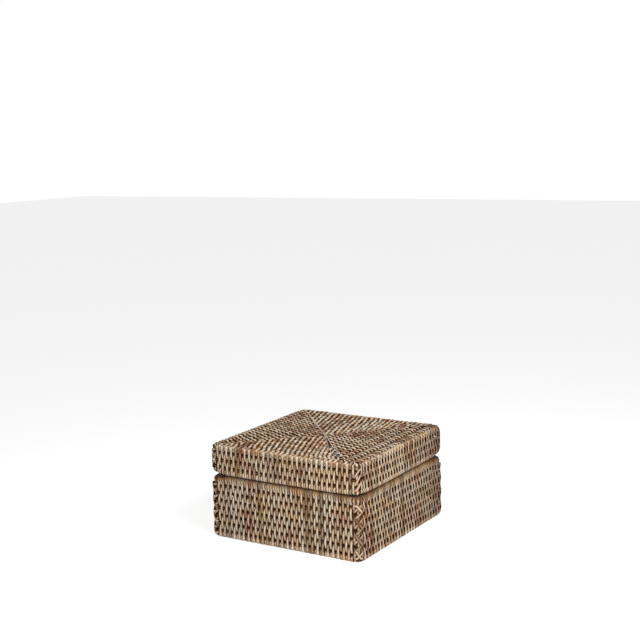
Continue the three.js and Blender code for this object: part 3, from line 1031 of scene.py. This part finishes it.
class Shading(Graph):
    """A material's node tree, with one Principled shader."""

    def __init__(self, name):
        material = bpy.data.materials.new(name)
        material.use_nodes = True
        super().__init__(material.node_tree)
        self.material = material
        self.tree.nodes.clear()
        self.shader = self.tree.nodes.new("ShaderNodeBsdfPrincipled")
        self.out = self.tree.nodes.new("ShaderNodeOutputMaterial")
        self.tree.links.new(self.shader.outputs[0], self.out.inputs["Surface"])

    def set(self, **sockets):
        for name, value in sockets.items():
            self.feed(self.shader.inputs[name.replace("_", " ")], value)

    def attribute(self, name):
        return self.node("ShaderNodeAttribute", {"attribute_name": name}, None, "Fac")

    def place(self):
        return self.node("ShaderNodeTexCoord", None, None, "Object")

    def noise(self, vector, scale, detail=2.0, roughness=0.5):
        sockets = {"Vector": vector, "Scale": scale, "Detail": detail, "Roughness": roughness}
        return self.node("ShaderNodeTexNoise", None, sockets, "Fac")

    def mix(self, first, second, factor):
        settings = {"data_type": "RGBA", "clamp_factor": True}
        return self.node("ShaderNodeMix", settings, {0: factor, 6: first, 7: second}, 2)

    def bump(self, height, strength, distance):
        sockets = {"Strength": strength, "Distance": distance, "Height": height}
        return self.node("ShaderNodeBump", None, sockets)


def srgb(red, green, blue):
    """A colour as it is seen, from 0 to 255, as the linear colour that a shader takes."""
    def linear(value):
        value /= 255
        return value / 12.92 if value <= 0.04045 else ((value + 0.055) / 1.055) ** 2.4

    return linear(red), linear(green), linear(blue), 1.0


def strand_material(name, grey, tan, rust, deep, rust_share=0.0, wear_and_highlight=0.8):
    """Split cane, stained and worn: each strand has its own tone, fine fibres along it, patches of tan
    and rust brown that cross from strand to strand, stain and painted shade in the recesses, along the
    strands' edges and at the two side corners, and a paler crown, part wear and part painted highlight."""
    s = Shading(name)
    place = s.place()
    along = s.attribute("along")
    across = s.attribute("across")
    tone = s.attribute("tone")
    raised = s.attribute("lift") * s.attribute("face")

    fibre_place = s.vector(across * 5.5, along * 45 + tone * 90, tone * 50)
    fibre = s.noise(fibre_place, 1.0, 3.0, 0.6)
    blotch = s.noise(s.vector(across * 0.4, along * 110 + tone * 40, tone * 77), 1.0, 2.0, 0.5)
    patch = s.noise(place, 30.0, 2.0, 0.6)
    wash = s.noise(place + (0.4, 0.2, 0.1), 48.0, 2.0, 0.65)
    soot_and_shade = s.noise(place + (0.1, 0.5, 0.3), 64.0, 2.0, 0.6)

    from_middle = s.maths("ABSOLUTE", across)
    colour = s.mix(grey, tan, s.ease(wash * 0.8 + blotch * 0.2, 0.42, 0.58))
    rusty = s.ease(patch * 0.8 + blotch * 0.2, 0.5 - rust_share, 0.62 - rust_share)
    colour = s.mix(colour, rust, rusty * 0.8)
    dim = s.ease(soot_and_shade * 0.5 + blotch * 0.3 + tone * 0.2, 0.54, 0.38)
    colour = s.mix(colour, deep, dim * 0.5)
    # The paler crown: wear on the raised middle of a strand, and a painted highlight where light would catch
    # it.
    crown = s.ease(from_middle, 0.7, 0.1) * s.ease(raised, 0.1, 0.7)
    worn = crown * s.ease(blotch * 0.6 + tone * 0.4, 0.2, 0.75)
    colour = s.mix(colour, srgb(*WORN_AND_HIGHLIT_CROWN), worn * wear_and_highlight)
    colour = s.mix(colour, deep, s.ease(fibre, 0.55, 0.8) * 0.45)
    # Painted shade, with stain: darker where a strand lies low, in the recesses beside and behind the rods.
    colour = s.mix(colour, deep, s.ease(raised, 0.3, -0.4) * 0.95)
    # Painted shade, with some dirt: darker towards a strand's edges, in the creases between neighbours.
    colour = s.mix(colour, deep, s.ease(from_middle, 0.45, 0.9) * 0.85)
    x, y, _ = s.split(place)
    # Part dirt, part painted shade: the two side corners darker, as faces turned from the light.
    side_corner = s.ease(-(x * y), *DIRT_AND_SHADE_CORNERS)
    colour = s.mix(colour, deep, side_corner * (0.2 + soot_and_shade * 0.2 + x * 1.8))

    bump = s.bump(fibre * 0.6 + blotch * 0.4, 0.35, 0.25 * MM)
    s.set(Base_Color=colour, Roughness=0.58 + fibre * 0.2, Normal=bump)
    s.shader.inputs["Specular IOR Level"].default_value = 0.08
    return s.material


def rod_material(name, light, dark):
    """Dark stained round rattan, with streaks along it and paler scuffs, and painted shade on its upper side,
    under the strands that dive over it.
    """
    s = Shading(name)
    along = s.attribute("along")
    across = s.attribute("across")
    streak = s.noise(s.vector(across * 4, along * 60, along * 3), 1.0, 3.0, 0.6)
    patch = s.noise(s.place(), 45.0, 2.0, 0.5)
    # Darker towards the upper side: painted shade where the strands overhang the rod.
    colour = s.mix(dark, light, s.ease(streak * 0.5 + patch * 0.5 - across * 0.25, 0.35, 0.6))
    bump = s.bump(streak, 0.3, 0.2 * MM)
    s.set(Base_Color=colour, Roughness=0.6 + streak * 0.25, Normal=bump)
    s.shader.inputs["Specular IOR Level"].default_value = 0.03
    return s.material


def post_material(name, light, dark):
    """A stained pole that has no strand attributes: its grain runs up it."""
    s = Shading(name)
    sockets = {"Vector": s.place(), "Scale": (900.0, 900.0, 40.0)}
    grain = s.noise(s.node("ShaderNodeMapping", None, sockets), 1.0, 3.0, 0.6)
    colour = s.mix(dark, light, s.ease(grain, 0.4, 0.65))
    bump = s.bump(grain, 0.3, 0.2 * MM)
    s.set(Base_Color=colour, Roughness=0.6 + grain * 0.2, Normal=bump)
    return s.material


def floor_material():
    """A pale floor that looks white to the camera where no shadow falls on it."""
    s = Shading("pale_floor")
    s.set(Base_Color=(0.8, 0.8, 0.8, 1.0), Roughness=0.9)
    s.shader.inputs["Specular IOR Level"].default_value = 0.0
    glow = s.node("ShaderNodeEmission", None, {"Color": WHITE, "Strength": s.seen_directly() * FLOOR_GLOW})
    both = s.node("ShaderNodeAddShader", None, {0: Wire(s, s.shader.outputs[0]), 1: glow})
    s.feed(s.out.inputs["Surface"], both)
    return s.material


def build_stage():
    """The floor, the white surroundings and the soft lamps."""
    mesh = bpy.data.meshes.new("floor")
    corners = [(FLOOR_HALF * x, FLOOR_HALF * y, 0.0) for x, y in ((-1, -1), (1, -1), (1, 1), (-1, 1))]
    mesh.from_pydata(corners, [], [(0, 1, 2, 3)])
    mesh.materials.append(floor_material())
    floor = bpy.data.objects.new("floor", mesh)
    floor.location.z = -FLOOR_GAP
    bpy.context.scene.collection.objects.link(floor)

    world = bpy.data.worlds.new("surroundings")
    bpy.context.scene.world = world
    world.use_nodes = True
    g = Graph(world.node_tree)
    g.tree.nodes.clear()
    strength = g.seen_directly() * (1.0 - SKY_LIGHT) + SKY_LIGHT
    background = g.node("ShaderNodeBackground", None, {"Color": WHITE, "Strength": strength})
    out = g.tree.nodes.new("ShaderNodeOutputWorld")
    g.feed(out.inputs["Surface"], background)


def lamp(name, place, aim, width, power):
    light = bpy.data.lights.new(name, "AREA")
    light.shape = "DISK"
    light.size = width
    light.energy = power
    holder = bpy.data.objects.new(name, light)
    holder.location = place
    holder.rotation_euler = (Vector(aim) - Vector(place)).to_track_quat("-Z", "Y").to_euler()
    bpy.context.scene.collection.objects.link(holder)


def build_camera():
    """The photograph's view: the near corner is the one between the left and the front side."""
    level = Vector((math.cos(VIEW_TURN), -math.sin(VIEW_TURN), 0.0))
    ahead = Vector((math.sin(VIEW_TURN), math.cos(VIEW_TURN), 0.0))
    forward = ahead * math.cos(VIEW_DIP) - Vector((0, 0, math.sin(VIEW_DIP)))
    upward = ahead * math.sin(VIEW_DIP) + Vector((0, 0, math.cos(VIEW_DIP)))
    right = level * math.cos(VIEW_ROLL) - upward * math.sin(VIEW_ROLL)
    up = level * math.sin(VIEW_ROLL) + upward * math.cos(VIEW_ROLL)
    camera = bpy.data.cameras.new("camera")
    camera.lens = LENS
    camera.sensor_width = 36.0
    camera.clip_start = 0.01
    camera.clip_end = 50.0
    holder = bpy.data.objects.new("camera", camera)
    turn = [[right[i], up[i], -forward[i]] for i in range(3)]
    holder.rotation_euler = Matrix(turn).to_euler()
    holder.location = level * AIM_RIGHT + upward * AIM_UP - forward * VIEW_DISTANCE
    bpy.context.scene.collection.objects.link(holder)
    bpy.context.scene.camera = holder


build_camera()
build_stage()
lamp("key", (-0.25, -0.55, 0.62), (-0.04, -0.04, 0.05), 0.4, 3.35)
lamp("fill", (-0.7, -0.22, 0.52), (-0.04, -0.02, 0.05), 0.45, 2.1)
bpy.context.scene.view_settings.view_transform = "Standard"

cane = strand_material(
    "antiqued_cane", srgb(203, 180, 147), srgb(200, 160, 111), srgb(167, 107, 69), srgb(50, 21, 3)
)
pale_cane = strand_material(
    "pale_cane", srgb(244, 234, 218), srgb(234, 214, 184), srgb(204, 168, 132), srgb(74, 42, 20)
)
ochre_cane = strand_material(
    "ochre_cane", srgb(190, 158, 116), srgb(182, 138, 86), srgb(156, 100, 58), srgb(58, 30, 8), 0.05
)
brown_cane = strand_material(
    "brown_cane", srgb(202, 168, 130), srgb(194, 148, 100), srgb(162, 106, 68), srgb(52, 22, 2), 0.03, 0.5
)
dark_rod = rod_material("dark_rod", srgb(112, 78, 50), srgb(34, 14, 2))
brown_rod = rod_material("brown_rod", srgb(156, 116, 80), srgb(84, 50, 24))
brown_pole = rod_material("brown_pole", srgb(138, 96, 62), srgb(84, 54, 34))
post_wood = post_material("brown_post", srgb(128, 88, 58), srgb(80, 50, 32))

side_growth = woven_side_growth()
fan_growth = corner_fan_growth()
stitch_growth = corner_stitch_growth()
diagonal_strands = diagonal_growth()
tack_stitches = tack_growth()
rod_growth = square_rod_growth()

trays = [
    Tray("base", "floor", "base_foot_rod", "base_rim_pole", 7, 10),
    Tray("lid", "lid", "lid_edge_rod", "lid_rim_pole", 3, 10),
]
for number, tray in enumerate(trays):
    for i in range(4):
        seed = 23.0 * number + i
        weave_side(tray, side_growth, SIDES[i], i * QUARTER, seed, cane)
        fill = cane if tray.upside_down else brown_cane
        lace_corner(tray, (fan_growth, stitch_growth), CORNERS[i], i * QUARTER, seed, (fill, brown_cane))
    lay_diagonals(tray, diagonal_strands, (pale_cane, ochre_cane))
    if tray.upside_down:
        tack_diagonal(tray, tack_stitches, pale_cane)
    bend_rods(tray, rod_growth, dark_rod, brown_rod, brown_pole)
weave_neck((side_growth, fan_growth, rod_growth), cane, dark_rod)

for corner in CORNERS:
    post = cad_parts[f"corner_post_{corner}"]
    post.data.materials.clear()
    post.data.materials.append(post_wood)
